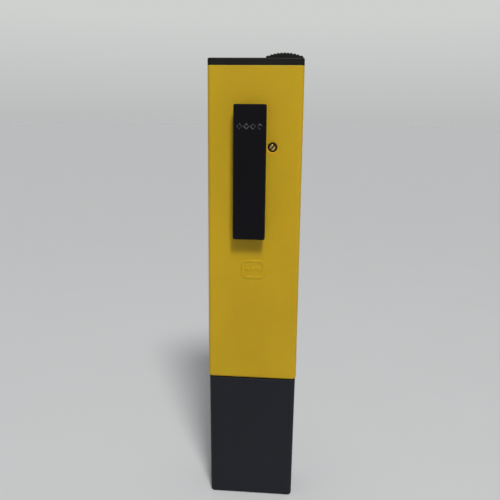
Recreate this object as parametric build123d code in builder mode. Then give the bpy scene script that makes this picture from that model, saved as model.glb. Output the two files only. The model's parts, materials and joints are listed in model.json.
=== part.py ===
"""Pen-type digital pH meter, standing on its protective cap.

The origin is the centre of the cap's bottom face. +Z is up along the meter, +Y is the
display side and -Y is the side that carries the pocket clip. Every size is in millimetres.
"""

import os
from math import asin, atan, degrees

from build123d import *

# Overall
LENGTH = 155.0
CASE_WIDTH = 31.0
CASE_DEPTH = 18.0
HALF_WIDTH = CASE_WIDTH / 2
HALF_DEPTH = CASE_DEPTH / 2

# Case shells
CASE_BOTTOM = 46.4
COVER_THICKNESS = 2.2
CASE_TOP = LENGTH - COVER_THICKNESS
WALL = 1.6
CORNER_RADIUS = 1.5
INNER_X = HALF_WIDTH - WALL
INNER_Y = HALF_DEPTH - WALL
INNER_BOTTOM = CASE_BOTTOM + WALL
LIP_THICKNESS = 0.7
LIP_DEPTH = 1.2
LIP_GAP = 0.1
SEAM_GROOVE = 0.22
NECK_WIDTH = 22.0
NECK_DEPTH = 13.0
MOULD_MARK_X = 0.0
MOULD_MARK_Z = 86.2
MOULD_MARK_RELIEF = 0.22
MOULD_MARK_SLOPE = 40

# Circuit board
BOARD_REAR = -1.2
BOARD_FRONT = 0.4
BOARD_HALF_WIDTH = 12.6
BOARD_BOTTOM = 58.0
BOARD_SHOULDER = 124.6
BOARD_TOP = 147.0
BOARD_TAB_LEFT = 1.7
SCREW_X = 10.2
SCREW_HEIGHTS = (62.0, 98.0)
SCREW_RADIUS = 0.95
SEAT_GAP = 0.05

# Display
LCD_CENTRE = 111.0
LCD_WIDTH = 24.0
LCD_HEIGHT = 14.0
WINDOW_WIDTH = 22.0
WINDOW_HEIGHT = 13.0
VIEW_WIDTH = 20.0
VIEW_HEIGHT = 11.0
LABEL_WIDTH = 24.4
LABEL_BOTTOM = 62.0
LABEL_TOP = 136.0
LABEL_RECESS = 0.35
LABEL_THICKNESS = 0.3

# Button cells and their drawer
CELL_DIAMETER = 11.6
CELL_THICKNESS = 5.4
CELL_POCKET = 11.8
CELL_PITCH = 12.0
DRAWER_LEFT = -13.4
DRAWER_RIGHT = -0.4
DRAWER_X = (DRAWER_LEFT + DRAWER_RIGHT) / 2
DRAWER_BOTTOM = 127.7
DRAWER_BACK = -6.2
LOWER_CELL = DRAWER_BOTTOM + 0.8 + CELL_POCKET / 2
UPPER_CELL = LOWER_CELL + CELL_PITCH
STACK_HALF = CELL_THICKNESS
LEAF_THICKNESS = 0.3
LEAF_REST = 6.85

# Power slider and the switch below it
SLIDER_LEFT = 3.1
SLIDER_RIGHT = 15.0
SLIDER_DEPTH = 12.0
SLIDER_END_HEIGHT = 0.6
SLIDER_CROWN = 1.8
SLIDER_TRAVEL = 3.0
RIB_COUNT = 11
RIB_DEPTH = 0.32
STEM_X = 9.7
STEM_Y = 3.0
STEM_SIZE = 3.0

# Trimmer
TRIMMER_X = 5.8
TRIMMER_Z = 127.1
TRIMMER_SIZE = 6.6
TRIMMER_FACE = -6.6
ROTOR_RADIUS = 1.05
ROTOR_TIP = -8.2
ROTOR_SLOT_WIDTH = 0.55
ROTOR_SLOT_DEPTH = 1.0
ROTOR_SLOT_TURN = -35
ACCESS_RADIUS = 1.55
ACCESS_CHAMFER = 0.3

# Pocket clip
CLIP_LEFT = -6.5
CLIP_RIGHT = 4.0
CLIP_BOTTOM = 97.3
CLIP_TOP = 140.7
CLIP_THICKNESS = 1.8
CLIP_GAP = 2.8
CLIP_X = (CLIP_LEFT + CLIP_RIGHT) / 2
CLIP_FOOT_BOTTOM = 132.5
CLIP_REAR = -HALF_DEPTH - CLIP_GAP - CLIP_THICKNESS
MARK_HEIGHT = 133.8
MARK_RELIEF = 0.15
LUG_WIDTH = 5.0
LUG_BOTTOM = 134.5
LUG_TOP = 138.5
LUG_CLEARANCE = 0.3
BARB_BOTTOM = 136.6
BARB_WIDTH = 6.8

# Electrode
TUBE_RADIUS = 5.5
TUBE_BORE = 4.3
TUBE_BOTTOM = 18.0
TUBE_TOP = 54.0
BULB_RADIUS = 3.4
BULB_CENTRE = 12.6
STEM_RADIUS = 2.5
GLASS_WALL = 0.5
GUARD_BOTTOM = 8.2
PLUG_WIDTH = 26.5
PLUG_DEPTH = 13.5
PLUG_BOTTOM = 36.4
RING_HEIGHT = 40.5

# Protective cap
CAP_BOTTOM_WIDTH = 29.75
CAP_BOTTOM_DEPTH = 16.75
CAP_TOP_WIDTH = 30.5
CAP_TOP = 46.1
CAP_WALL = 1.55
CAP_FLOOR = 1.8
CAP_TAPER = degrees(atan((CAP_TOP_WIDTH - CAP_BOTTOM_WIDTH) / 2 / CAP_TOP))


def block(x, y, z, radius=0.0, mode=Mode.ADD):
    """A box between pairs of limits, with its upright edges rounded."""
    with BuildSketch(Plane.XY.offset(z[0])) as outline:
        with Locations(((x[0] + x[1]) / 2, (y[0] + y[1]) / 2)):
            if radius:
                RectangleRounded(x[1] - x[0], y[1] - y[0], radius)
            else:
                Rectangle(x[1] - x[0], y[1] - y[0])
    extrude(outline.sketch, amount=z[1] - z[0], mode=mode)


def panel(x, z, y, radius=0.0, mode=Mode.ADD):
    """A plate parallel to the front face, with the corners of its face rounded."""
    with BuildSketch(Plane.XZ.offset(-y[0])) as outline:
        with Locations(((x[0] + x[1]) / 2, (z[0] + z[1]) / 2)):
            if radius:
                RectangleRounded(x[1] - x[0], z[1] - z[0], radius)
            else:
                Rectangle(x[1] - x[0], z[1] - z[0])
    extrude(outline.sketch, amount=y[0] - y[1], mode=mode)


def rod_y(x, z, y, radius, mode=Mode.ADD):
    """A cylinder through the meter's depth."""
    with Locations((x, (y[0] + y[1]) / 2, z)):
        Cylinder(radius, y[1] - y[0], rotation=(90, 0, 0), mode=mode)


def rod_z(x, y, z, radius, mode=Mode.ADD):
    """An upright cylinder."""
    with Locations((x, y, (z[0] + z[1]) / 2)):
        Cylinder(radius, z[1] - z[0], mode=mode)


def save(builder, name):
    """Label a finished piece and write it under its own name."""
    builder.part.label = name
    export_step(builder.part, f"parts/{name}.step")


def centred(middle, size):
    """The two limits of a size about its middle."""
    return (middle - size / 2, middle + size / 2)


# Case shells

def case_lip(gap, depth):
    """The step that keys the two shells together, along the sides and the bottom."""
    reach = LIP_THICKNESS + gap
    sides = (-INNER_X - reach, INNER_X + reach)
    block(sides, (-depth, 0), (INNER_BOTTOM - reach, CASE_TOP), mode=Mode.ADD)
    block((-INNER_X, INNER_X), (-depth, 0), (INNER_BOTTOM, CASE_TOP), mode=Mode.SUBTRACT)


def make_case_blank():
    """The hollow case before it is parted, open at the top and at the electrode's neck."""
    with BuildPart() as blank:
        block((-HALF_WIDTH, HALF_WIDTH), (-HALF_DEPTH, HALF_DEPTH),
              (CASE_BOTTOM, CASE_TOP), CORNER_RADIUS)
        fillet(blank.faces().sort_by(Axis.Z)[0].edges(), 0.9)
        fillet(blank.faces().sort_by(Axis.Z)[-1].edges(), 0.35)
        block((-INNER_X, INNER_X), (-INNER_Y, INNER_Y), (INNER_BOTTOM, CASE_TOP), 0.8,
              mode=Mode.SUBTRACT)
        block(centred(0, NECK_WIDTH), centred(0, NECK_DEPTH), (CASE_BOTTOM, INNER_BOTTOM),
              5.0, mode=Mode.SUBTRACT)
        for side in (-1, 1):
            with BuildSketch(Plane.XY.offset(CASE_BOTTOM)) as groove:
                with Locations((side * HALF_WIDTH, 0)):
                    RegularPolygon(SEAM_GROOVE, 4)
            extrude(groove.sketch, amount=CASE_TOP - CASE_BOTTOM, mode=Mode.SUBTRACT)
    return blank.part


def chute_ribs(y):
    """The floor and side wall that the battery drawer slides between."""
    block((-INNER_X, 1.0), y, (126.0, 127.2))
    block((0.1, 1.0), y, (127.2, CASE_TOP - 0.2))


def make_front_shell(blank):
    """The display half, with screw bosses, label recess and the window's seat."""
    with BuildPart() as front_shell:
        add(blank)
        split(bisect_by=Plane.XZ, keep=Keep.BOTTOM)
        with BuildPart(mode=Mode.PRIVATE) as lip:
            case_lip(0.0, LIP_DEPTH)
            block(centred(0, NECK_WIDTH), centred(0, NECK_DEPTH), (CASE_BOTTOM, INNER_BOTTOM),
                  5.0, mode=Mode.SUBTRACT)
        add(lip.part)
        chute_ribs((0, 6.3))
        block((DRAWER_X - 3.6, DRAWER_X + 3.6), (7.05, INNER_Y), (128.0, 151.0))
        for side in (-1, 1):
            for height in SCREW_HEIGHTS:
                rod_y(side * SCREW_X, height, (BOARD_FRONT + SEAT_GAP, INNER_Y), 2.4)
                rod_y(side * SCREW_X, height, (BOARD_FRONT, INNER_Y - 1.0),
                      SCREW_RADIUS + SEAT_GAP, mode=Mode.SUBTRACT)
        panel(centred(0, LABEL_WIDTH), (LABEL_BOTTOM, LABEL_TOP),
              (HALF_DEPTH - LABEL_RECESS, HALF_DEPTH), 1.2, mode=Mode.SUBTRACT)
        panel(centred(0, WINDOW_WIDTH), centred(LCD_CENTRE, WINDOW_HEIGHT),
              (HALF_DEPTH - 1.0, HALF_DEPTH), 0.8, mode=Mode.SUBTRACT)
        panel(centred(0, VIEW_WIDTH), centred(LCD_CENTRE, VIEW_HEIGHT),
              (INNER_Y - 0.1, HALF_DEPTH), 0.5, mode=Mode.SUBTRACT)
    save(front_shell, "front_shell")


def make_rear_shell(blank):
    """The clip half, with the clip's slot, the trimmer's hole and a raised mould mark."""
    with BuildPart() as rear_shell:
        add(blank)
        split(bisect_by=Plane.XZ, keep=Keep.TOP)
        with BuildPart(mode=Mode.PRIVATE) as rebate:
            case_lip(LIP_GAP, LIP_DEPTH + LIP_GAP)
        add(rebate.part, mode=Mode.SUBTRACT)
        chute_ribs((-INNER_Y, 0))
        block((DRAWER_X - 2.4, DRAWER_X + 2.4), (-INNER_Y, -7.05), (128.0, 151.0))
        slot_z = (LUG_BOTTOM - LUG_CLEARANCE, LUG_TOP + LUG_CLEARANCE)
        block(centred(CLIP_X, LUG_WIDTH + 2 * LUG_CLEARANCE), (-HALF_DEPTH, -INNER_Y),
              slot_z, mode=Mode.SUBTRACT)
        block(centred(CLIP_X, BARB_WIDTH + 2 * LUG_CLEARANCE), (-INNER_Y, -6.2), slot_z,
              mode=Mode.SUBTRACT)
        rod_y(TRIMMER_X, TRIMMER_Z, (-HALF_DEPTH, -INNER_Y), ACCESS_RADIUS, mode=Mode.SUBTRACT)
        rims = rear_shell.edges().filter_by(GeomType.CIRCLE)
        rims = rims.filter_by(lambda edge: abs(edge.radius - ACCESS_RADIUS) < 0.01)
        chamfer(rims.sort_by(Axis.Y)[0], ACCESS_CHAMFER)
        mould_mark()
    save(rear_shell, "rear_shell")


def mould_mark():
    """A plain raised frame with a row of dots, low on the clip side, with sloping sides."""
    with BuildSketch(Plane.XZ.offset(HALF_DEPTH)) as mark:
        with Locations((MOULD_MARK_X, MOULD_MARK_Z)):
            RectangleRounded(8.3, 6.7, 2.0)
            RectangleRounded(6.1, 4.5, 0.9, mode=Mode.SUBTRACT)
            with GridLocations(1.9, 1.0, 3, 1):
                Circle(0.7)
    extrude(mark.sketch, amount=MOULD_MARK_RELIEF, taper=MOULD_MARK_SLOPE)


# Top cover, slider and switch

def make_top_cover():
    """The flat black cover, with the drawer's opening and the slider's slot."""
    with BuildPart() as top_cover:
        block((-HALF_WIDTH, HALF_WIDTH), (-HALF_DEPTH, HALF_DEPTH), (CASE_TOP, LENGTH),
              CORNER_RADIUS)
        fillet(top_cover.faces().sort_by(Axis.Z)[-1].edges(), 0.4)
        block((1.3, INNER_X - 0.1), (-INNER_Y + 0.1, INNER_Y - 0.1), (150.4, CASE_TOP), 0.7)
        block((2.3, INNER_X - 1.1), (-INNER_Y + 1.1, INNER_Y - 1.1), (150.4, CASE_TOP), 0.4,
              mode=Mode.SUBTRACT)
        block((DRAWER_LEFT - 0.2, DRAWER_RIGHT + 0.2), (DRAWER_BACK - 0.2, 6.4),
              (CASE_TOP, LENGTH), 0.6, mode=Mode.SUBTRACT)
        block((STEM_X - STEM_SIZE / 2 - SLIDER_TRAVEL - 0.2, STEM_X + STEM_SIZE / 2 + 0.2),
              centred(STEM_Y, STEM_SIZE + 0.2), (CASE_TOP, LENGTH), mode=Mode.SUBTRACT)
    save(top_cover, "top_cover")


def make_power_slider():
    """The ribbed thumb slider, with the stem and fork that move the switch."""
    base = LENGTH + SEAT_GAP
    middle = (SLIDER_LEFT + SLIDER_RIGHT) / 2
    shoulder = base + SLIDER_END_HEIGHT
    crown = base + SLIDER_CROWN
    pitch = (SLIDER_RIGHT - SLIDER_LEFT) / RIB_COUNT
    rise = SLIDER_CROWN - SLIDER_END_HEIGHT
    half = (SLIDER_RIGHT - SLIDER_LEFT) / 2
    arc_radius = (half ** 2 + rise ** 2) / (2 * rise)
    with BuildPart() as power_slider:
        with BuildSketch(Plane.XZ.offset(-SLIDER_DEPTH / 2)):
            with BuildLine():
                Polyline((SLIDER_RIGHT, shoulder), (SLIDER_RIGHT, base), (SLIDER_LEFT, base),
                         (SLIDER_LEFT, shoulder))
                ThreePointArc((SLIDER_LEFT, shoulder), (middle, crown),
                              (SLIDER_RIGHT, shoulder))
            make_face()
        extrude(amount=SLIDER_DEPTH)
        with BuildSketch(Plane.XZ.offset(-SLIDER_DEPTH / 2)):
            for rib in range(1, RIB_COUNT):
                offset_x = rib * pitch - half
                surface = crown - arc_radius + (arc_radius ** 2 - offset_x ** 2) ** 0.5
                lean = degrees(asin(offset_x / arc_radius))
                with Locations((middle + offset_x, surface)):
                    RegularPolygon(RIB_DEPTH, 4, rotation=-lean)
        extrude(amount=SLIDER_DEPTH, mode=Mode.SUBTRACT)
        stem_x = centred(STEM_X, STEM_SIZE)
        block(stem_x, centred(STEM_Y, STEM_SIZE - 0.2), (149.8, base))
        block(stem_x, centred(STEM_Y, 4.8), (151.6, 152.5))
        block(centred(STEM_X, 1.6), centred(STEM_Y, STEM_SIZE), (149.8, 151.4),
              mode=Mode.SUBTRACT)
    save(power_slider, "power_slider")


def make_switch():
    """The slide switch on the board's tab and the nub that it slides."""
    travel_middle = STEM_X - SLIDER_TRAVEL / 2
    front = BOARD_FRONT + SEAT_GAP
    with BuildPart() as switch_housing:
        block(centred(travel_middle, 8.8), (front, front + 5.0), (143.0, 148.6))
        fillet(switch_housing.edges().filter_by(Axis.Z), 0.4)
        block(centred(travel_middle, 4.8), centred(STEM_Y, 1.8), (145.4, 148.6),
              mode=Mode.SUBTRACT)
        for pin in (-1, 0, 1):
            block(centred(travel_middle + 2.5 * pin, 0.5), centred(front + 1.5, 0.4),
                  (140.6, 143.0))
    save(switch_housing, "switch_housing")
    with BuildPart() as switch_actuator:
        block(centred(STEM_X, 1.4), centred(STEM_Y, 1.5), (145.5, 151.2))
        fillet(switch_actuator.faces().sort_by(Axis.Z)[-1].edges(), 0.2)
    save(switch_actuator, "switch_actuator")


# Batteries

def make_battery_drawer():
    """The drawer that lifts out of the top with two stacks of cells."""
    with BuildPart() as battery_drawer:
        block((DRAWER_LEFT, DRAWER_RIGHT), (DRAWER_BACK, STACK_HALF),
              (DRAWER_BOTTOM, CASE_TOP), 0.5)
        block((DRAWER_LEFT, DRAWER_RIGHT), (DRAWER_BACK, 6.2), (CASE_TOP, LENGTH), 0.5)
        for height in (LOWER_CELL, UPPER_CELL):
            rod_y(DRAWER_X, height, (-STACK_HALF, STACK_HALF), CELL_POCKET / 2,
                  mode=Mode.SUBTRACT)
        block(centred(DRAWER_X, 5.0), (DRAWER_BACK, -STACK_HALF),
              (DRAWER_BOTTOM, UPPER_CELL + 3.6), mode=Mode.SUBTRACT)
        with BuildSketch(Plane.XZ.offset(-4.4)):
            with Locations((DRAWER_X, LENGTH)):
                Circle(2.6)
        extrude(amount=1.6, mode=Mode.SUBTRACT)
    save(battery_drawer, "battery_drawer")


def make_button_cells():
    """Four cells: a flat can with a smaller cap on its negative side."""
    places = ((LOWER_CELL, -1, 1), (LOWER_CELL, 1, 1), (UPPER_CELL, -1, -1), (UPPER_CELL, 1, -1))
    for number, (height, side, facing) in enumerate(places, start=1):
        middle = side * CELL_THICKNESS / 2
        can_middle = middle - facing * 0.4
        with BuildPart() as cell:
            rod_y(DRAWER_X, height, centred(can_middle, CELL_THICKNESS - 0.84),
                  CELL_DIAMETER / 2)
            fillet(cell.edges().filter_by(GeomType.CIRCLE), 0.5)
            rod_y(DRAWER_X, height, centred(middle, CELL_THICKNESS - 0.04), 4.9)
        save(cell, f"button_cell_{number}")


def leaf(x, width, side, bumps, bottom, top, name):
    """A sprung contact strip that bows inwards at each cell it presses on."""
    rest = side * LEAF_REST
    peak = side * (STACK_HALF + 0.1 + LEAF_THICKNESS / 2)
    with BuildPart() as contact:
        with BuildSketch(Plane.YZ.offset(x - width / 2)):
            with BuildLine():
                start = (rest, bottom)
                for height in bumps:
                    Line(start, (rest, height - 3.0))
                    ThreePointArc((rest, height - 3.0), (peak, height), (rest, height + 3.0))
                    start = (rest, height + 3.0)
                Line(start, (rest, top))
            trace(line_width=LEAF_THICKNESS)
        extrude(amount=width)
    save(contact, name)


def make_battery_contacts():
    leaf(DRAWER_X - 1.7, 2.4, 1, (UPPER_CELL,), 124.0, UPPER_CELL + 4.2,
         "battery_contact_positive")
    leaf(DRAWER_X + 1.7, 2.4, 1, (LOWER_CELL,), 124.0, LOWER_CELL + 4.2,
         "battery_contact_negative")
    leaf(DRAWER_X, 3.0, -1, (LOWER_CELL, UPPER_CELL), 129.0, UPPER_CELL + 4.2,
         "battery_bridge")


# Circuit board and what it carries

def make_main_board():
    """The L-shaped board: its tab runs up beside the batteries to the switch."""
    with BuildPart() as main_pcb:
        panel((-BOARD_HALF_WIDTH, BOARD_HALF_WIDTH), (BOARD_BOTTOM, BOARD_SHOULDER),
              (BOARD_REAR, BOARD_FRONT))
        panel((BOARD_TAB_LEFT, BOARD_HALF_WIDTH), (BOARD_SHOULDER, BOARD_TOP),
              (BOARD_REAR, BOARD_FRONT))
        fillet(main_pcb.edges().filter_by(Axis.Y), 0.8)
        for side in (-1, 1):
            for height in SCREW_HEIGHTS:
                rod_y(side * SCREW_X, height, (BOARD_REAR, BOARD_FRONT), 1.1,
                      mode=Mode.SUBTRACT)
    save(main_pcb, "main_pcb")


def make_board_screws():
    """Pan-head screws with a cross recess, from the clip side into the front bosses."""
    head = (BOARD_REAR - SEAT_GAP - 1.3, BOARD_REAR - SEAT_GAP)
    with BuildPart() as pcb_screws:
        for side in (-1, 1):
            for height in SCREW_HEIGHTS:
                x = side * SCREW_X
                rod_y(x, height, head, 1.9)
                rod_y(x, height, (head[1], 5.4), SCREW_RADIUS)
                panel(centred(x, 2.2), centred(height, 0.5), (head[0], head[0] + 0.7),
                      mode=Mode.SUBTRACT)
                panel(centred(x, 0.5), centred(height, 2.2), (head[0], head[0] + 0.7),
                      mode=Mode.SUBTRACT)
    save(pcb_screws, "pcb_screws")


def make_chip(x, z, size, lead_count, lead_axes, name):
    """A moulded chip on the clip side of the board, with bent leads on its sides."""
    foot = BOARD_REAR - SEAT_GAP
    with BuildPart() as chip:
        panel(centred(x, size), centred(z, size), (foot - 1.6, foot - 0.15))
        chamfer(chip.faces().sort_by(Axis.Y)[0].edges(), 0.2)
        for side in (-1, 1):
            for lead in range(lead_count):
                along = (lead - (lead_count - 1) / 2) * 0.8
                edge = side * (size / 2 + 0.45)
                if "x" in lead_axes:
                    panel(centred(x + edge, 1.1), centred(z + along, 0.3), (foot - 0.35, foot))
                if "z" in lead_axes:
                    panel(centred(x + along, 0.3), centred(z + edge, 1.1), (foot - 0.35, foot))
    save(chip, name)


def make_small_components():
    """Resistors and capacitors in short rows on the clip side of the board."""
    foot = BOARD_REAR - SEAT_GAP
    with BuildPart() as chip_resistors:
        for row, height in enumerate((70.0, 73.5, 112.0, 115.5)):
            for column in range(3):
                x = -9.0 + 3.2 * column + 0.6 * row
                panel(centred(x, 2.0), centred(height, 1.25), (foot - 0.55, foot))
    save(chip_resistors, "chip_resistors")
    with BuildPart() as chip_capacitors:
        for row, height in enumerate((70.0, 96.5, 117.0)):
            for column in range(2):
                x = 3.6 + 3.4 * column - 0.7 * row
                panel(centred(x, 2.0), centred(height, 1.4), (foot - 1.1, foot))
    save(chip_capacitors, "chip_capacitors")


def make_trimmer():
    """The calibration trimmer, whose slotted brass rotor faces the access hole."""
    foot = BOARD_REAR - SEAT_GAP
    with BuildPart() as trimmer_body:
        panel(centred(TRIMMER_X, TRIMMER_SIZE), centred(TRIMMER_Z, TRIMMER_SIZE),
              (TRIMMER_FACE, foot))
        fillet(trimmer_body.edges().filter_by(Axis.Y), 0.3)
        chamfer(trimmer_body.faces().sort_by(Axis.Y)[0].edges(), 0.25)
        rod_y(TRIMMER_X, TRIMMER_Z, (TRIMMER_FACE, TRIMMER_FACE + 2.0),
              ROTOR_RADIUS + SEAT_GAP, mode=Mode.SUBTRACT)
    save(trimmer_body, "trimmer_body")
    with BuildPart() as trimmer_rotor:
        rod_y(TRIMMER_X, TRIMMER_Z, (ROTOR_TIP, TRIMMER_FACE + 1.9), ROTOR_RADIUS)
        fillet(trimmer_rotor.faces().sort_by(Axis.Y)[0].edges(), 0.35)
        with BuildSketch(Plane.XZ.offset(-ROTOR_TIP)):
            with Locations((TRIMMER_X, TRIMMER_Z)):
                Rectangle(ROTOR_SLOT_WIDTH, 3 * ROTOR_RADIUS, rotation=ROTOR_SLOT_TURN)
        extrude(amount=-ROTOR_SLOT_DEPTH, mode=Mode.SUBTRACT)
    save(trimmer_rotor, "trimmer_rotor")


# Display

def digit(x, z, width, height, segments, face):
    """One seven-segment figure from its lit segments. +X is on the reader's left."""
    bar = 0.75
    half_w = width / 2
    half_h = height / 2
    if "a" in segments:
        panel(centred(x, width - bar), centred(z + half_h, bar), face)
    if "g" in segments:
        panel(centred(x, width - bar), centred(z, bar), face)
    if "d" in segments:
        panel(centred(x, width - bar), centred(z - half_h, bar), face)
    uprights = {"b": (1, 1), "c": (1, -1), "f": (-1, 1), "e": (-1, -1)}
    for name, (side, level) in uprights.items():
        if name in segments:
            panel(centred(x - side * half_w, bar),
                  centred(z + level * half_h / 2, half_h - bar), face)


def make_display():
    """Liquid crystal cell, its figures, frame, rubber connectors, window and label."""
    glass_back = 4.2
    glass_face = 6.6
    seat = BOARD_FRONT + SEAT_GAP
    with BuildPart() as lcd_glass:
        panel(centred(0, LCD_WIDTH), centred(LCD_CENTRE, LCD_HEIGHT), (glass_back, glass_face))
        panel(centred(0, LCD_WIDTH + 1), (LCD_CENTRE + LCD_HEIGHT / 2 - 2.2, LCD_CENTRE + 8),
              (glass_back + 1.2, glass_face + 1), mode=Mode.SUBTRACT)
    save(lcd_glass, "lcd_glass")
    figures = (glass_face, glass_face + 0.08)
    with BuildPart() as lcd_digits:
        digit(6.2, LCD_CENTRE - 0.6, 3.6, 6.6, "abc", figures)
        digit(-0.2, LCD_CENTRE - 0.6, 3.6, 6.6, "abcdef", figures)
        digit(-6.2, LCD_CENTRE - 0.6, 3.6, 6.6, "abcdef", figures)
        panel(centred(2.9, 0.8), centred(LCD_CENTRE - 3.9, 0.8), figures)
    save(lcd_digits, "lcd_digits")
    with BuildPart() as lcd_frame:
        panel(centred(0, 25.8), centred(LCD_CENTRE, 15.8), (seat, 7.0), 0.8)
        panel(centred(0, LCD_WIDTH + 0.2), centred(LCD_CENTRE, LCD_HEIGHT + 0.2),
              (seat, glass_face + 0.05), mode=Mode.SUBTRACT)
        panel(centred(0, VIEW_WIDTH + 0.4), centred(LCD_CENTRE, VIEW_HEIGHT),
              (seat, 7.0), mode=Mode.SUBTRACT)
    save(lcd_frame, "lcd_frame")
    with BuildPart() as zebra_strips:
        for side in (-1, 1):
            panel(centred(0, 23.0), centred(LCD_CENTRE + side * 5.8, 2.0),
                  (seat, glass_back - SEAT_GAP))
    save(zebra_strips, "zebra_strips")
    with BuildPart() as display_window:
        panel(centred(0, WINDOW_WIDTH - 0.1), centred(LCD_CENTRE, WINDOW_HEIGHT - 0.1),
              (HALF_DEPTH - 0.98, HALF_DEPTH - 0.05), 0.75)
        fillet(display_window.faces().sort_by(Axis.Y)[-1].edges(), 0.15)
    save(display_window, "display_window")
    label_back = HALF_DEPTH - LABEL_RECESS
    with BuildPart() as front_label:
        panel(centred(0, LABEL_WIDTH - 0.2), (LABEL_BOTTOM + 0.1, LABEL_TOP - 0.1),
              (label_back, label_back + LABEL_THICKNESS), 1.1)
        panel(centred(0, WINDOW_WIDTH), centred(LCD_CENTRE, WINDOW_HEIGHT),
              (label_back, HALF_DEPTH), 0.8, mode=Mode.SUBTRACT)
    save(front_label, "front_label")


# Wires

def wire(points, radius, bends):
    """A round insulated wire along straight runs joined by arcs."""
    with BuildLine() as route:
        FilletPolyline(*points, radius=bends)
    start = Plane(origin=route.line @ 0, z_dir=route.line % 0)
    with BuildSketch(start) as section:
        Circle(radius)
    sweep(section.sketch, path=route.line)


def make_leads():
    """The leads from the battery contacts and from the electrode to the board."""
    with BuildPart() as battery_leads:
        for side in (-1, 1):
            x = DRAWER_X + 1.7 * side
            wire([(x, LEAF_REST, 124.0), (x, LEAF_REST, 121.4), (x, BOARD_FRONT, 121.4)],
                 0.35, 1.1)
    save(battery_leads, "battery_leads")
    with BuildPart() as electrode_leads:
        for side in (-1, 1):
            wire([(side * 1.6, -3.0, TUBE_TOP), (side * 2.2, -3.4, 60.0),
                  (side * 3.4, -4.0, 66.0), (side * 3.4, BOARD_REAR, 66.0)],
                 0.35, 1.2)
    save(electrode_leads, "electrode_leads")


# Electrode

def make_electrode_holder():
    """The waisted collar between the shells, and the plug that the cap pushes on to."""
    with BuildPart() as electrode_holder:
        block(centred(0, PLUG_WIDTH), centred(0, PLUG_DEPTH),
              (PLUG_BOTTOM, CASE_BOTTOM - SEAT_GAP), 2.0)
        fillet(electrode_holder.faces().sort_by(Axis.Z)[0].edges(), 0.8)
        block(centred(0, PLUG_WIDTH + 1), centred(0, PLUG_DEPTH + 1),
              centred(RING_HEIGHT, 1.4), 2.0, mode=Mode.SUBTRACT)
        block(centred(0, PLUG_WIDTH - 1.7), centred(0, PLUG_DEPTH - 1.7),
              centred(RING_HEIGHT, 1.4), 1.0)
        block(centred(0, NECK_WIDTH - 0.2), centred(0, NECK_DEPTH - 0.2),
              (CASE_BOTTOM - SEAT_GAP, INNER_BOTTOM + SEAT_GAP), 4.9)
        block(centred(0, 26.0), centred(0, 14.4),
              (INNER_BOTTOM + SEAT_GAP, INNER_BOTTOM + 2.0), 2.0)
        rod_z(0, 0, (PLUG_BOTTOM, INNER_BOTTOM + 2.0), TUBE_RADIUS + SEAT_GAP,
              mode=Mode.SUBTRACT)
    save(electrode_holder, "electrode_holder")
    with BuildPart() as o_ring:
        block(centred(0, PLUG_WIDTH + 0.2), centred(0, PLUG_DEPTH + 0.2),
              centred(RING_HEIGHT, 1.0), 2.1)
        block(centred(0, PLUG_WIDTH - 1.6), centred(0, PLUG_DEPTH - 1.6),
              centred(RING_HEIGHT, 1.0), 1.05, mode=Mode.SUBTRACT)
        fillet(o_ring.faces().filter_by(Axis.Z).edges(), 0.4)
    save(o_ring, "o_ring")


def make_electrode():
    """Tube, glass bulb, guard, reference junction, silver wire and the sealing plug."""
    with BuildPart() as electrode_tube:
        rod_z(0, 0, (TUBE_BOTTOM, TUBE_TOP), TUBE_RADIUS)
        chamfer(electrode_tube.edges().filter_by(GeomType.CIRCLE).sort_by(Axis.Z)[-1], 0.4)
        rod_z(0, 0, (TUBE_BOTTOM, TUBE_TOP), TUBE_BORE, mode=Mode.SUBTRACT)
    save(electrode_tube, "electrode_tube")
    stem_top = 50.8
    with BuildPart() as glass_bulb:
        with Locations((0, 0, BULB_CENTRE)):
            Sphere(BULB_RADIUS)
        rod_z(0, 0, (BULB_CENTRE, stem_top), STEM_RADIUS)
        with Locations((0, 0, BULB_CENTRE)):
            Sphere(BULB_RADIUS - GLASS_WALL, mode=Mode.SUBTRACT)
        rod_z(0, 0, (BULB_CENTRE, stem_top), STEM_RADIUS - GLASS_WALL, mode=Mode.SUBTRACT)
    save(glass_bulb, "glass_bulb")
    with BuildPart() as silver_wire:
        rod_z(0, 0, (11.4, stem_top + 0.1), 0.3)
        fillet(silver_wire.edges().filter_by(GeomType.CIRCLE).sort_by(Axis.Z)[0], 0.2)
    save(silver_wire, "silver_wire")
    junction_x = 3.45
    with BuildPart() as electrode_guard:
        rod_z(0, 0, (GUARD_BOTTOM, TUBE_BOTTOM - SEAT_GAP), TUBE_RADIUS)
        rod_z(0, 0, (TUBE_BOTTOM - SEAT_GAP, 22.0), TUBE_BORE - SEAT_GAP)
        rod_z(0, 0, (GUARD_BOTTOM, 15.4), 4.2, mode=Mode.SUBTRACT)
        rod_z(0, 0, (15.4, 22.0), STEM_RADIUS + 0.15, mode=Mode.SUBTRACT)
        rod_z(junction_x, 0, (15.4, 22.0), 0.6, mode=Mode.SUBTRACT)
        block((-7, 7), (-2.2, 2.2), (GUARD_BOTTOM, 13.8), mode=Mode.SUBTRACT)
        block((-2.2, 2.2), (-7, 7), (GUARD_BOTTOM, 13.8), mode=Mode.SUBTRACT)
    save(electrode_guard, "electrode_guard")
    with BuildPart() as reference_junction:
        rod_z(junction_x, 0, (15.2, 22.2), 0.55)
    save(reference_junction, "reference_junction")
    with BuildPart() as electrode_seal:
        rod_z(0, 0, (51.0, TUBE_TOP), TUBE_BORE - SEAT_GAP)
    save(electrode_seal, "electrode_seal")


# Protective cap and its sponge

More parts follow.
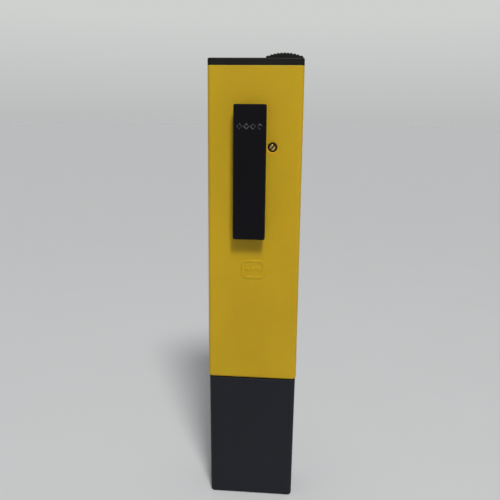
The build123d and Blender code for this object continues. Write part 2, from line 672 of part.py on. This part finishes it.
def make_protective_cap():
    """The tapered black cap that the meter stands on."""
    with BuildPart() as protective_cap:
        with BuildSketch():
            RectangleRounded(CAP_BOTTOM_WIDTH, CAP_BOTTOM_DEPTH, 1.4)
        extrude(amount=CAP_TOP, taper=-CAP_TAPER)
        fillet(protective_cap.faces().sort_by(Axis.Z)[0].edges(), 0.9)
        fillet(protective_cap.faces().sort_by(Axis.Z)[-1].edges(), 0.25)
        with BuildSketch(Plane.XY.offset(CAP_FLOOR)):
            RectangleRounded(CAP_BOTTOM_WIDTH - 2 * CAP_WALL, CAP_BOTTOM_DEPTH - 2 * CAP_WALL,
                             1.0)
        extrude(amount=CAP_TOP - CAP_FLOOR, taper=-CAP_TAPER, mode=Mode.SUBTRACT)
    save(protective_cap, "protective_cap")
    with BuildPart() as storage_sponge:
        block(centred(0, 26.0), centred(0, 13.0), (CAP_FLOOR + 0.1, 6.2), 1.5)
        fillet(storage_sponge.faces().sort_by(Axis.Z)[-1].edges(), 0.6)
    save(storage_sponge, "storage_sponge")


# Pocket clip

def make_pocket_clip():
    """The flat clip: tongue, foot against the case, lug in its slot and a nib at the tip."""
    face = -HALF_DEPTH - SEAT_GAP
    inner = CLIP_REAR + CLIP_THICKNESS
    with BuildPart() as pocket_clip:
        panel((CLIP_LEFT, CLIP_RIGHT), (CLIP_BOTTOM, CLIP_TOP), (CLIP_REAR, inner), 0.5)
        fillet(pocket_clip.faces().sort_by(Axis.Y)[0].edges(), 0.35)
        with BuildSketch(Plane.YZ.offset(CLIP_LEFT + 0.6)):
            with BuildLine():
                Polyline((inner - 0.4, CLIP_TOP - 0.5), (face, CLIP_TOP - 0.5),
                         (face, CLIP_FOOT_BOTTOM + 1.5))
                ThreePointArc((face, CLIP_FOOT_BOTTOM + 1.5),
                              (face - 1.7, CLIP_FOOT_BOTTOM - 0.1),
                              (inner - 0.4, CLIP_FOOT_BOTTOM - 2.6))
                Line((inner - 0.4, CLIP_FOOT_BOTTOM - 2.6), (inner - 0.4, CLIP_TOP - 0.5))
            make_face()
        extrude(amount=CLIP_RIGHT - CLIP_LEFT - 1.2)
        with BuildSketch(Plane.YZ.offset(CLIP_LEFT + 0.6)):
            with Locations((inner + 0.1, CLIP_BOTTOM + 3.2)):
                Circle(1.5)
        extrude(amount=CLIP_RIGHT - CLIP_LEFT - 1.2)
        barb_y = (-INNER_Y + LUG_CLEARANCE, -INNER_Y + 1.0)
        block(centred(CLIP_X, LUG_WIDTH), (face, barb_y[0]), (LUG_BOTTOM, LUG_TOP))
        block(centred(CLIP_X, BARB_WIDTH), barb_y, (BARB_BOTTOM, LUG_TOP))
        with BuildSketch(Plane.XZ.offset(-CLIP_REAR)):
            with GridLocations(2.15, 1.0, 4, 1):
                with Locations((CLIP_X, MARK_HEIGHT)):
                    RegularPolygon(0.98, 4)
                    RegularPolygon(0.62, 4, mode=Mode.SUBTRACT)
        extrude(amount=MARK_RELIEF)
    save(pocket_clip, "pocket_clip")


os.makedirs("parts", exist_ok=True)
CASE_BLANK = make_case_blank()
make_front_shell(CASE_BLANK)
make_rear_shell(CASE_BLANK)
make_top_cover()
make_power_slider()
make_switch()
make_battery_drawer()
make_button_cells()
make_battery_contacts()
make_main_board()
make_board_screws()
make_chip(-1.0, 84.0, 10.0, 10, "xz", "converter_chip")
make_chip(5.5, 104.5, 4.0, 4, "x", "op_amp_chip")
make_small_components()
make_trimmer()
make_display()
make_leads()
make_electrode_holder()
make_electrode()
make_protective_cap()
make_pocket_clip()
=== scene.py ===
"""Looks of the pen-type digital pH meter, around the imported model, in metres."""
import json
import math

import bmesh
import bpy
from mathutils import Matrix, Vector, noise


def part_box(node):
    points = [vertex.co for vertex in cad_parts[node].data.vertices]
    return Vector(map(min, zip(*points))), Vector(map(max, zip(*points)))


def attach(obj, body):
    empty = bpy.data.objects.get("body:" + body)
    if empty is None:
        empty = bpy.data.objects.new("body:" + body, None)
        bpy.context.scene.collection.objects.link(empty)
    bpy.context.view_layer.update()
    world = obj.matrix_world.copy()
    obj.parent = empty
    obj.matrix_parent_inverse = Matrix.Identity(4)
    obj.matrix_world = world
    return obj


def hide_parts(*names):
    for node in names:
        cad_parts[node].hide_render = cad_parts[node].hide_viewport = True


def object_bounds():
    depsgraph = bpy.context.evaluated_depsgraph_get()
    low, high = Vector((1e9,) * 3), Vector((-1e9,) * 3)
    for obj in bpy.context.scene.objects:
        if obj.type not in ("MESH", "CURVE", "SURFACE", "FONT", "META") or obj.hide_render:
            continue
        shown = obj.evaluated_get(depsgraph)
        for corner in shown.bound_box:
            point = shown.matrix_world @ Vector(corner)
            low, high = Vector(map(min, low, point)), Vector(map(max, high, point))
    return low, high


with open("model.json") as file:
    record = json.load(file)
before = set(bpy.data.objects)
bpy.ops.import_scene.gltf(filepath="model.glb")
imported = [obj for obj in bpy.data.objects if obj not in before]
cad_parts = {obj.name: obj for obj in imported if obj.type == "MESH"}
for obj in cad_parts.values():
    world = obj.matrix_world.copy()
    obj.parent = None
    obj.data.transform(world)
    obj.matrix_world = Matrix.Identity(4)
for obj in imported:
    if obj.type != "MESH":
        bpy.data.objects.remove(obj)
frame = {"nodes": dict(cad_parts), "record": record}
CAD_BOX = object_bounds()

MM = 0.001
NODES = frame["nodes"]
SCENE = bpy.context.scene
SCENE.view_settings.view_transform = "Standard"


def add_object(name, data):
    item = bpy.data.objects.new(name, data)
    SCENE.collection.objects.link(item)
    return item


# Camera: a phone held a little above the middle of the meter, on its clip side

CAMERA_PLACE = Vector((15.52, -203.84, 136.33)) * MM
CAMERA_YAW = math.radians(-4.88)
CAMERA_PITCH = math.radians(-12.53)
CAMERA_ROLL = math.radians(0.60)
SENSOR_WIDTH = 36.0
FOCAL_LENGTH = 42.7


def make_camera():
    data = bpy.data.cameras.new("camera")
    data.sensor_width = SENSOR_WIDTH
    data.lens = FOCAL_LENGTH
    data.clip_start = 0.01
    camera = add_object("camera", data)
    turn = (Matrix.Rotation(-CAMERA_YAW, 4, "Z")
            @ Matrix.Rotation(math.pi / 2 + CAMERA_PITCH, 4, "X")
            @ Matrix.Rotation(CAMERA_ROLL, 4, "Z"))
    camera.matrix_world = Matrix.Translation(CAMERA_PLACE) @ turn
    SCENE.camera = camera


# Node graphs

class Finish:
    """A Principled material whose colour, roughness and bump come from node textures.

    Texture sizes are given in millimetres of the meter's own frame.
    """

    def __init__(self, name, **sockets):
        self.material = bpy.data.materials.new(name)
        self.material.use_nodes = True
        self.tree = self.material.node_tree
        self.shader = self.tree.nodes["Principled BSDF"]
        for socket, value in sockets.items():
            self.shader.inputs[socket.replace("_", " ")].default_value = value
        place = self.tree.nodes.new("ShaderNodeTexCoord")
        scaled = self.tree.nodes.new("ShaderNodeMapping")
        scaled.inputs["Scale"].default_value = (1 / MM,) * 3
        self.tree.links.new(place.outputs["Object"], scaled.inputs["Vector"])
        self.place = scaled.outputs["Vector"]
        self.last_normal = None

    def link(self, source, target):
        self.tree.links.new(source, target)

    def stretched(self, scale):
        """The coordinates squeezed along some axes, for grain that runs one way."""
        node = self.tree.nodes.new("ShaderNodeMapping")
        node.inputs["Scale"].default_value = scale
        self.link(self.place, node.inputs["Vector"])
        return node.outputs["Vector"]

    def noise(self, grain, detail=2.0, roughness=0.5, place=None):
        node = self.tree.nodes.new("ShaderNodeTexNoise")
        node.inputs["Scale"].default_value = 1 / grain
        node.inputs["Detail"].default_value = detail
        node.inputs["Roughness"].default_value = roughness
        self.link(place or self.place, node.inputs["Vector"])
        return node.outputs["Fac"]

    def cells(self, size):
        node = self.tree.nodes.new("ShaderNodeTexVoronoi")
        node.inputs["Scale"].default_value = 1 / size
        self.link(self.place, node.inputs["Vector"])
        return node.outputs["Distance"]

    def waves(self, period, axis, distortion=0.0, place=None):
        node = self.tree.nodes.new("ShaderNodeTexWave")
        node.bands_direction = axis
        node.inputs["Scale"].default_value = math.tau / 20 / period
        node.inputs["Distortion"].default_value = distortion
        self.link(place or self.place, node.inputs["Vector"])
        return node.outputs["Fac"]

    def spread(self, value, low, high, to_low=0.0, to_high=1.0):
        node = self.tree.nodes.new("ShaderNodeMapRange")
        node.inputs["From Min"].default_value = low
        node.inputs["From Max"].default_value = high
        node.inputs["To Min"].default_value = to_low
        node.inputs["To Max"].default_value = to_high
        self.link(value, node.inputs["Value"])
        return node.outputs["Result"]

    def math(self, operation, first, second):
        node = self.tree.nodes.new("ShaderNodeMath")
        node.operation = operation
        for socket, value in zip(node.inputs, (first, second)):
            if isinstance(value, float):
                socket.default_value = value
            else:
                self.link(value, socket)
        return node.outputs["Value"]

    def tint(self, factor, first, second):
        """A colour between two others. Each is a tuple or another node's colour."""
        node = self.tree.nodes.new("ShaderNodeMix")
        node.data_type = "RGBA"
        self.link(factor, node.inputs["Factor"])
        for socket, value in ((node.inputs[6], first), (node.inputs[7], second)):
            if isinstance(value, tuple):
                socket.default_value = (*value, 1.0)
            else:
                self.link(value, socket)
        return node.outputs[2]

    def edges(self, radius):
        """1 at an edge and 0 on open faces."""
        bevel = self.tree.nodes.new("ShaderNodeBevel")
        bevel.samples = 6
        bevel.inputs["Radius"].default_value = radius * MM
        geometry = self.tree.nodes.new("ShaderNodeNewGeometry")
        dot = self.tree.nodes.new("ShaderNodeVectorMath")
        dot.operation = "DOT_PRODUCT"
        self.link(bevel.outputs["Normal"], dot.inputs[0])
        self.link(geometry.outputs["Normal"], dot.inputs[1])
        return self.spread(dot.outputs["Value"], 0.985, 0.8)

    def along(self, axis):
        """The distance along one axis of the meter, in millimetres."""
        node = self.tree.nodes.new("ShaderNodeSeparateXYZ")
        self.link(self.place, node.inputs["Vector"])
        return node.outputs[axis]

    def within(self, x_limits, z_limits):
        """1 inside a rectangle of the meter's broad faces and 0 outside it."""
        result = None
        for axis, limits in (("X", x_limits), ("Z", z_limits)):
            place = self.along(axis)
            for operation, limit in zip(("GREATER_THAN", "LESS_THAN"), limits):
                side = self.math(operation, place, float(limit))
                result = self.math("MULTIPLY", result, side) if result else side
        return result

    def bump(self, height, depth, strength=1.0):
        """Raises the surface by up to depth millimetres where height is 1."""
        node = self.tree.nodes.new("ShaderNodeBump")
        node.inputs["Distance"].default_value = depth * MM
        node.inputs["Strength"].default_value = strength
        self.link(height, node.inputs["Height"])
        if self.last_normal:
            self.link(self.last_normal, node.inputs["Normal"])
        self.last_normal = node.outputs["Normal"]
        self.link(self.last_normal, self.shader.inputs["Normal"])

    def color(self, source):
        self.link(source, self.shader.inputs["Base Color"])

    def roughness(self, source):
        self.link(source, self.shader.inputs["Roughness"])


def shade(color, factor):
    return tuple(min(1.0, channel * factor) for channel in color)


def moulded(name, color, roughness, specular=0.5, texture=0.16, depth=0.006, worn_edge_highlight=1.5,
            scuffs=0.08, raised=None, **sockets):
    """Injection-moulded plastic: spark texture, faint flow marks, scuffs, and edges lightened
    in patches as wear with a painted edge highlight.

    Figures that stand out past the raised depth get a pale painted highlight, broken in
    patches.
    """
    f = Finish(name, Specular_IOR_Level=specular, **sockets)
    flow = f.noise(22.0, 3.0, 0.55, f.stretched((1.0, 1.0, 0.45)))
    speckle = f.noise(texture * 1.7, 1.0)
    body = f.tint(f.spread(flow, 0.35, 0.65), shade(color, 0.94), shade(color, 1.05))
    body = f.tint(f.spread(speckle, 0.3, 0.7, 0.0, 0.3), body, shade(color, 0.86))
    patchy = f.spread(f.noise(2.6, 4.0, 0.65), 0.38, 0.66)
    # Edges are lightened in patches: wear together with a painted highlight along the edges
    edge_wear_highlight = f.math("MULTIPLY", f.edges(0.5), patchy)
    body = f.tint(f.math("MULTIPLY", edge_wear_highlight, 0.45), body, shade(color, worn_edge_highlight))
    if raised:
        # painted highlight: the raised figures are tinted pale grey in patches, for light
        # caught on their tops
        proud = f.spread(f.along("Y"), raised, raised - 0.03)
        highlight_patches = f.spread(f.noise(0.7, 2.0, 0.6), 0.44, 0.58, 0.05, 1.0)
        body = f.tint(f.math("MULTIPLY", proud, highlight_patches), body, MARK_HIGHLIGHT_GREY)
    f.color(body)
    scratch = f.noise(0.5, 2.0, 0.6, f.stretched((1.0, 1.0, 0.06)))
    scratch = f.spread(scratch, 0.66, 0.74, 0.0, scuffs)
    smudge = f.spread(f.noise(9.0, 4.0, 0.6), 0.3, 0.7, roughness - 0.05, roughness + 0.06)
    f.roughness(f.math("SUBTRACT", smudge, scratch))
    f.bump(f.noise(texture, 2.0, 0.6), depth)
    f.bump(f.noise(30.0, 1.0), 0.05, 0.5)
    return f.material


def metal(name, color, roughness, axis=(1.0, 1.0, 0.05), grain=0.12, tarnish=0.25):
    """Bright metal with a directional grain and a patchy tarnish."""
    f = Finish(name, Metallic=1.0)
    stain = f.spread(f.noise(3.0, 4.0, 0.65), 0.42, 0.68, 0.0, tarnish)
    f.color(f.tint(stain, color, shade(color, 0.55)))
    lines = f.noise(grain, 3.0, 0.6, f.stretched(axis))
    f.roughness(f.spread(lines, 0.25, 0.75, roughness - 0.08, roughness + 0.1))
    f.bump(lines, 0.004)
    return f.material


def turned(name, color, roughness, centre, shade_depth=None):
    """Metal with fine rings about an axis through the meter's depth.

    Past the shade depth the colour darkens: painted shade at the bottom of a slot.
    """
    f = Finish(name, Metallic=1.0)
    shift = f.tree.nodes.new("ShaderNodeVectorMath")
    shift.operation = "SUBTRACT"
    shift.inputs[1].default_value = centre
    f.link(f.place, shift.inputs[0])
    flat = f.tree.nodes.new("ShaderNodeVectorMath")
    flat.operation = "MULTIPLY"
    flat.inputs[1].default_value = (1.0, 0.0, 1.0)
    f.link(shift.outputs["Vector"], flat.inputs[0])
    length = f.tree.nodes.new("ShaderNodeVectorMath")
    length.operation = "LENGTH"
    f.link(flat.outputs["Vector"], length.inputs[0])
    rings = f.math("SINE", f.math("MULTIPLY", length.outputs["Value"], RING_RATE), 0.0)
    stain = f.spread(f.noise(1.6, 4.0, 0.6), 0.4, 0.7, 0.0, 0.4)
    body = f.tint(stain, color, shade(color, 0.6))
    if shade_depth:
        # painted shade: the brass darkens past the shade depth, down in the rotor's slot
        low = f.spread(f.along("Y"), shade_depth, shade_depth + SLOT_SHADE_FADE)
        body = f.tint(low, body, shade(color, 0.12))
    f.color(body)
    f.roughness(f.spread(rings, -1.0, 1.0, roughness - 0.06, roughness + 0.06))
    f.bump(f.spread(rings, -1.0, 1.0), 0.002)
    return f.material


def circuit_board(name):
    """Solder mask over copper tracks, with pale round vias."""
    f = Finish(name, Roughness=0.32, Coat_Weight=0.4, Coat_Roughness=0.2)
    upright = f.spread(f.waves(1.3, "X", 6.0, f.stretched((1.0, 1.0, 0.35))), 0.62, 0.74)
    level = f.spread(f.waves(1.9, "Z", 9.0, f.stretched((0.3, 1.0, 1.0))), 0.72, 0.82)
    tracks = f.math("MAXIMUM", upright, level)
    vias = f.spread(f.cells(2.9), 0.12, 0.1)
    mask = f.tint(f.noise(0.35, 2.0), (0.010, 0.115, 0.038), (0.014, 0.15, 0.05))
    mask = f.tint(tracks, mask, (0.03, 0.26, 0.09))
    f.color(f.tint(vias, mask, (0.62, 0.56, 0.42)))
    f.bump(tracks, 0.03)
    f.bump(vias, 0.04)
    return f.material


def ceramic(name, color):
    f = Finish(name, Roughness=0.4)
    grains = f.cells(0.22)
    f.color(f.tint(f.spread(grains, 0.1, 0.7), color, shade(color, 0.75)))
    f.roughness(f.spread(grains, 0.0, 0.8, 0.32, 0.5))
    f.bump(grains, 0.01)
    return f.material


def clear(name, color, roughness=0.04, thin=True):
    """Clear glass or acrylic with a faint haze of handling marks."""
    f = Finish(name, Transmission_Weight=1.0, IOR=1.47, Base_Color=(*color, 1.0))
    haze = f.noise(6.0, 4.0, 0.6)
    f.roughness(f.spread(haze, 0.4, 0.75, roughness, roughness + 0.07))
    f.bump(f.noise(9.0, 1.0), 0.01 if thin else 0.03, 0.5)
    return f.material


def lcd_cell(name):
    """The grey-green reflector seen through the cell, with its fine electrode grid."""
    f = Finish(name, Roughness=0.22, Specular_IOR_Level=0.6)
    sheen = f.noise(7.0, 2.0)
    base = f.tint(sheen, (0.30, 0.335, 0.26), (0.36, 0.395, 0.31))
    grid = f.math("MAXIMUM", f.spread(f.waves(0.4, "X"), 0.93, 0.99),
                  f.spread(f.waves(0.4, "Z"), 0.93, 0.99))
    f.color(f.tint(f.math("MULTIPLY", grid, 0.35), base, (0.25, 0.28, 0.22)))
    f.roughness(f.spread(f.noise(1.2, 3.0), 0.3, 0.7, 0.18, 0.28))
    return f.material


def film(name, color, window):
    """Printed film: brushed grey with an orange-peel surface, a dark bezel and thin lines."""
    f = Finish(name)
    grain = f.noise(0.3, 3.0, 0.6, f.stretched((0.04, 1.0, 1.0)))
    body = f.tint(f.spread(grain, 0.3, 0.7), shade(color, 0.85), shade(color, 1.15))
    low, high = window
    left, right = low[0] - BEZEL_SIDE, high[0] + BEZEL_SIDE
    line_near, line_far = PRINTED_LINE
    bezel = f.within((left, right), (low[2] - BEZEL_END, high[2] + BEZEL_END))
    above = f.within((left, right), (high[2] + line_near, high[2] + line_far))
    below = f.within((left, right), (low[2] - line_far, low[2] - line_near))
    print_ink = f.math("MAXIMUM", bezel, f.math("MAXIMUM", above, below))
    f.color(f.tint(print_ink, body, (0.014, 0.014, 0.015)))
    f.link(f.spread(print_ink, 0.0, 1.0, 0.55, 0.0), f.shader.inputs["Metallic"])
    f.roughness(f.spread(grain, 0.3, 0.7, 0.3, 0.42))
    f.bump(f.noise(0.5, 2.0), 0.006)
    return f.material


def rubber(name, color, roughness=0.6):
    f = Finish(name, Specular_IOR_Level=0.4)
    bloom = f.spread(f.noise(1.4, 4.0, 0.7), 0.4, 0.75)
    f.color(f.tint(bloom, color, shade(color, 1.6)))
    f.roughness(f.spread(bloom, 0.0, 1.0, roughness, roughness + 0.15))
    f.bump(f.noise(0.12, 2.0), 0.006)
    return f.material


def striped_rubber(name):
    """Layered connector rubber: thin conducting bands across its length."""
    f = Finish(name, Roughness=0.55)
    bands = f.spread(f.waves(0.18, "X"), 0.4, 0.6)
    f.color(f.tint(bands, (0.02, 0.02, 0.022), (0.5, 0.48, 0.46)))
    f.bump(bands, 0.01)
    return f.material


def foam(name):
    """Open-cell foam: pores of two sizes in a yellowish body, with painted shade darkening
    the pore hollows.
    """
    f = Finish(name, Roughness=0.85, Subsurface_Weight=0.15, Subsurface_Scale=0.001)
    pores = f.spread(f.cells(0.9), 0.05, 0.45)
    small = f.spread(f.cells(0.35), 0.05, 0.4)
    depth = f.math("MULTIPLY", pores, small)
    body = f.tint(f.noise(2.5, 3.0), (0.62, 0.50, 0.24), (0.74, 0.63, 0.34))
    # painted shade: the pore hollows are tinted dark brown
    f.color(f.tint(depth, (0.20, 0.14, 0.05), body))
    f.bump(depth, 0.25)
    return f.material


# Sizes in the finishes, in millimetres. The ring rate is in radians per millimetre.

RING_RATE = 42.0
SLOT_SHADE_FADE = 0.15
SLOT_SHADE_DEPTH = 0.3
# Depth below the clip marks' faces past which their painted highlight starts
MARK_HIGHLIGHT_DEPTH = 0.06
CLIP_MARK_RELIEF = 0.15
BEZEL_SIDE = 0.7
BEZEL_END = 0.9
PRINTED_LINE = (3.0, 3.4)

YELLOW = (0.520, 0.340, 0.0070)
COVER_BLACK = (0.0078, 0.0085, 0.0062)
CLIP_BLACK = (0.0039, 0.0036, 0.0056)
CAP_BLACK = (0.0130, 0.0136, 0.0188)
ELECTRODE_GREY = (0.020, 0.020, 0.022)
# Pale grey of the painted highlight on the clip marks
MARK_HIGHLIGHT_GREY = (0.11, 0.11, 0.12)


def box_centre(node):
    """The middle of a CAD node's box, in millimetres."""
    low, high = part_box(node)
    return tuple((a + b) / 2 / MM for a, b in zip(low, high))


def make_finishes():
    """One finish for each material slot of the record."""
    cell = box_centre("button_cell_1")
    rotor = box_centre("trimmer_rotor")
    rotor_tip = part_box("trimmer_rotor")[0][1] / MM
    window = [Vector(corner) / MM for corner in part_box("display_window")]
    clip_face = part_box("pocket_clip")[0][1] / MM + CLIP_MARK_RELIEF
    return {
        "case_yellow": moulded("case_yellow", YELLOW, 0.46, 0.25, worn_edge_highlight=1.2,
                               Subsurface_Weight=0.5, Subsurface_Scale=0.0022,
                               Subsurface_Radius=(1.0, 0.25, 0.05)),
        "cover_black": moulded("cover_black", COVER_BLACK, 0.48, 0.16, worn_edge_highlight=3.0),
        "clip_black": moulded("clip_black", CLIP_BLACK, 0.45, 0.10, worn_edge_highlight=4.0,
                              raised=clip_face - MARK_HIGHLIGHT_DEPTH),
        "cap_black": moulded("cap_black", CAP_BLACK, 0.5, 0.16, worn_edge_highlight=2.6),
        "electrode_black": moulded("electrode_black", ELECTRODE_GREY, 0.4, worn_edge_highlight=2.0),
        "electrode_grey": moulded("electrode_grey", shade(ELECTRODE_GREY, 2.4), 0.32,
                                  worn_edge_highlight=1.8),
        "chip_epoxy": moulded("chip_epoxy", (0.012, 0.012, 0.012), 0.55, texture=0.08),
        "trimmer_blue": moulded("trimmer_blue", (0.005, 0.017, 0.075), 0.35, texture=0.1),
        "seal_epoxy": moulded("seal_epoxy", (0.012, 0.012, 0.011), 0.18, texture=0.6),
        "lcd_ink": moulded("lcd_ink", (0.012, 0.014, 0.012), 0.4, texture=0.1),
        "cell_steel": turned("cell_steel", (0.62, 0.61, 0.58), 0.26, cell),
        "rotor_brass": turned("rotor_brass", (0.88, 0.64, 0.24), 0.28, rotor,
                              rotor_tip + SLOT_SHADE_DEPTH),
        "contact_nickel": metal("contact_nickel", (0.64, 0.61, 0.54), 0.3),
        "screw_steel": metal("screw_steel", (0.50, 0.50, 0.49), 0.35, (1.0, 0.1, 1.0)),
        "switch_tin": metal("switch_tin", (0.66, 0.66, 0.64), 0.34, (0.05, 1.0, 1.0)),
        "silver": metal("silver", (0.72, 0.71, 0.69), 0.3, tarnish=0.7),
        "board_green": circuit_board("board_green"),
        "resistor_black": ceramic("resistor_black", (0.02, 0.02, 0.021)),
        "capacitor_tan": ceramic("capacitor_tan", (0.36, 0.22, 0.10)),
        "junction_ceramic": ceramic("junction_ceramic", (0.74, 0.71, 0.63)),
        "lcd_glass": lcd_cell("lcd_glass"),
        "window_clear": clear("window_clear", (0.93, 0.96, 0.95)),
        "bulb_glass": clear("bulb_glass", (0.90, 0.95, 0.93), 0.02, thin=False),
        "label_film": film("label_film", (0.22, 0.225, 0.23), window),
        "lead_red": rubber("lead_red", (0.42, 0.018, 0.012), 0.4),
        "lead_black": rubber("lead_black", (0.012, 0.012, 0.013), 0.4),
        "ring_rubber": rubber("ring_rubber", (0.012, 0.012, 0.013)),
        "zebra_rubber": striped_rubber("zebra_rubber"),
        "sponge": foam("sponge"),
    }


def paint_nodes(finishes):
    """Gives every CAD node the finish of its material slot."""
    for part in frame["record"]["subparts"]:
        data = NODES[part["node"]].data
        data.materials.clear()
        data.materials.append(finishes[part["material_slot"]])


# Storage sponge

SPONGE_STEP = 0.42 * MM
SPONGE_INSET = 0.25 * MM
SPONGE_ROUNDING = 1.3 * MM

# Millimetres, scaled where they are used
PORE_DEPTH = 0.38
SWELL_DEPTH = 0.08
DENT_DEPTH = 0.45
DENT_RADIUS = 4.2


def make_sponge(finishes):
    """A die-cut foam block: torn pores all over, softened edges and a dent under the bulb."""
    low, high = (Vector(corner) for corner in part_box("storage_sponge"))
    middle = (low + high) / 2
    half = (high - low) / 2 - Vector((SPONGE_INSET,) * 3)
    mesh = bmesh.new()
    counts = [max(2, round(2 * size / SPONGE_STEP)) for size in half]
    for axis in range(3):
        first, second = [other for other in range(3) if other != axis]
        for side in (-1, 1):
            rows = []
            for i in range(counts[first] + 1):
                row = []
                for j in range(counts[second] + 1):
                    point = Vector((0, 0, 0))
                    point[axis] = side * half[axis]
                    point[first] = half[first] * (2 * i / counts[first] - 1)
                    point[second] = half[second] * (2 * j / counts[second] - 1)
                    row.append(mesh.verts.new(point))
                rows.append(row)
            for i in range(counts[first]):
                for j in range(counts[second]):
                    mesh.faces.new((rows[i][j], rows[i + 1][j], rows[i + 1][j + 1],
                                    rows[i][j + 1]))
    bmesh.ops.remove_doubles(mesh, verts=mesh.verts, dist=SPONGE_STEP / 50)
    for vertex in mesh.verts:
        inner = Vector([max(-h + SPONGE_ROUNDING, min(h - SPONGE_ROUNDING, c))
                        for c, h in zip(vertex.co, half)])
        away = vertex.co - inner
        if away.length > 0:
            vertex.co = inner + away.normalized() * min(away.length, SPONGE_ROUNDING)
    bmesh.ops.recalc_face_normals(mesh, faces=mesh.faces)
    mesh.normal_update()
    moves = []
    for vertex in mesh.verts:
        spot = (vertex.co + middle) / MM
        pore = noise.noise(spot * 1.5) + 0.6 * noise.noise(spot * 3.1)
        swell = noise.noise(spot * 0.25)
        depth = max(0.0, pore) * PORE_DEPTH + SWELL_DEPTH * swell
        radius = math.hypot(vertex.co.x, vertex.co.y) / MM
        falloff = math.exp(-(radius / DENT_RADIUS) ** 2)
        dent = DENT_DEPTH * falloff if vertex.co.z > 0 else 0.0
        moves.append(-vertex.normal * depth * MM - Vector((0, 0, dent * MM)))
    for vertex, move in zip(mesh.verts, moves):
        vertex.co += move
    for vertex in mesh.verts:
        vertex.co += middle
    data = bpy.data.meshes.new("sponge_block")
    mesh.to_mesh(data)
    mesh.free()
    data.shade_smooth()
    sponge = add_object("sponge_block", data)
    data.materials.append(finishes["sponge"])
    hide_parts("storage_sponge")
    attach(sponge, "cap")


# Stage and lights

FLOOR_COLOR = (0.650, 0.655, 0.662)
FLOOR_REACH = 12.0
SUN_FROM = Vector((0.1764, -0.630, 0.756))
SUN_STRENGTH = 2.05
SUN_WIDTH = math.radians(13)
LAMP_REACH = 0.25
LAMP_SIZE = 0.057
LAMP_POWER = 0.17
ROOM_LIGHT = 0.30
HORIZON = (0.500, 0.508, 0.510)
ZENITH = (0.620, 0.632, 0.622)
ZENITH_HEIGHT = 0.15


def paper(name, color):
    """Matt paper with faint mottling and a very fine tooth."""
    f = Finish(name, Roughness=0.9, Specular_IOR_Level=0.2)
    mottle = f.noise(45.0, 3.0, 0.5)
    f.color(f.tint(mottle, shade(color, 0.985), shade(color, 1.015)))
    f.bump(f.noise(0.6, 3.0), 0.01)
    return f.material


def make_stage():
    """A plain pale floor."""
    height = CAD_BOX[0][2]
    corners = [(x * FLOOR_REACH, y * FLOOR_REACH, height)
               for x, y in ((-1, -1), (1, -1), (1, 1), (-1, 1))]
    data = bpy.data.meshes.new("floor")
    data.from_pydata(corners, [], [(0, 1, 2, 3)])
    data.materials.append(paper("floor", FLOOR_COLOR))
    floor = add_object("floor", data)


def make_lights():
    """A wide soft key from the upper right, with a small lamp on its line, in a pale room."""
    data = bpy.data.lights.new("key", "SUN")
    data.energy = SUN_STRENGTH
    data.angle = SUN_WIDTH
    data.color = (1.0, 0.995, 0.98)
    key = add_object("key", data)
    key.rotation_euler = (-SUN_FROM).to_track_quat("-Z", "Y").to_euler()
    data = bpy.data.lights.new("lamp", "AREA")
    data.energy = LAMP_POWER
    data.shape = "DISK"
    data.size = LAMP_SIZE
    lamp = add_object("lamp", data)
    lamp.location = Vector((0, CAD_BOX[0][1], CAD_BOX[1][2])) + SUN_FROM * LAMP_REACH
    lamp.rotation_euler = key.rotation_euler
    world = bpy.data.worlds.new("room")
    world.use_nodes = True
    tree = world.node_tree
    lit = tree.nodes["Background"]
    lit.inputs["Color"].default_value = (0.96, 0.98, 1.0, 1.0)
    lit.inputs["Strength"].default_value = ROOM_LIGHT
    direction = tree.nodes.new("ShaderNodeTexCoord")
    split = tree.nodes.new("ShaderNodeSeparateXYZ")
    tree.links.new(direction.outputs["Generated"], split.inputs["Vector"])
    climb = tree.nodes.new("ShaderNodeMapRange")
    climb.inputs["From Max"].default_value = ZENITH_HEIGHT
    tree.links.new(split.outputs["Z"], climb.inputs["Value"])
    fade = tree.nodes.new("ShaderNodeMix")
    fade.data_type = "RGBA"
    fade.inputs[6].default_value = (*HORIZON, 1.0)
    fade.inputs[7].default_value = (*ZENITH, 1.0)
    tree.links.new(climb.outputs["Result"], fade.inputs["Factor"])
    seen = tree.nodes.new("ShaderNodeBackground")
    tree.links.new(fade.outputs[2], seen.inputs["Color"])
    choose = tree.nodes.new("ShaderNodeMixShader")
    path = tree.nodes.new("ShaderNodeLightPath")
    tree.links.new(path.outputs["Is Camera Ray"], choose.inputs["Fac"])
    tree.links.new(lit.outputs["Background"], choose.inputs[1])
    tree.links.new(seen.outputs["Background"], choose.inputs[2])
    tree.links.new(choose.outputs["Shader"], tree.nodes["World Output"].inputs["Surface"])
    SCENE.world = world


make_camera()
FINISHES = make_finishes()
paint_nodes(FINISHES)
make_sponge(FINISHES)
make_stage()
make_lights()
